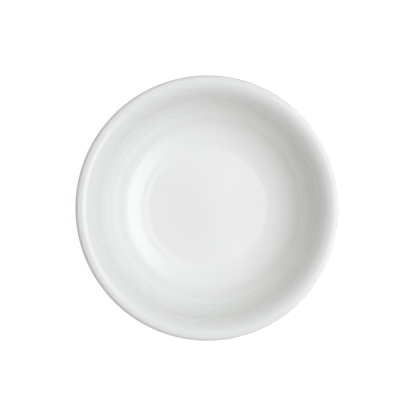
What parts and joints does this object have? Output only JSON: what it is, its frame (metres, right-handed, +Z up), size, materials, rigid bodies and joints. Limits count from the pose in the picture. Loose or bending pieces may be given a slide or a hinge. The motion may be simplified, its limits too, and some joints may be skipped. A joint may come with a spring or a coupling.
{
  "type": "evaporating dish",
  "caption": "Shallow round evaporating dish in glazed white porcelain, with a flat floor, curved sides, a flared rolled rim and a low bare foot ring.",
  "frame": {"origin": "on the table under the centre of the foot ring, at the middle of the bottom of the bounding box", "axes": "+Z up along the dish's axis of revolution, out of its open mouth; X and Y lie in the plane of the foot and are alike"},
  "size_m": [0.1, 0.1, 0.028],
  "materials": {
    "biscuit": "matt unglazed hard porcelain, turned and lightly rubbed on the standing ring",
    "glaze": "glossy clear glaze over white porcelain, with faint turning marks under it"
  },
  "bodies": {
    "root": {"porcelain_body": "biscuit", "glaze_coat": "glaze"}
  },
  "joints": []
}
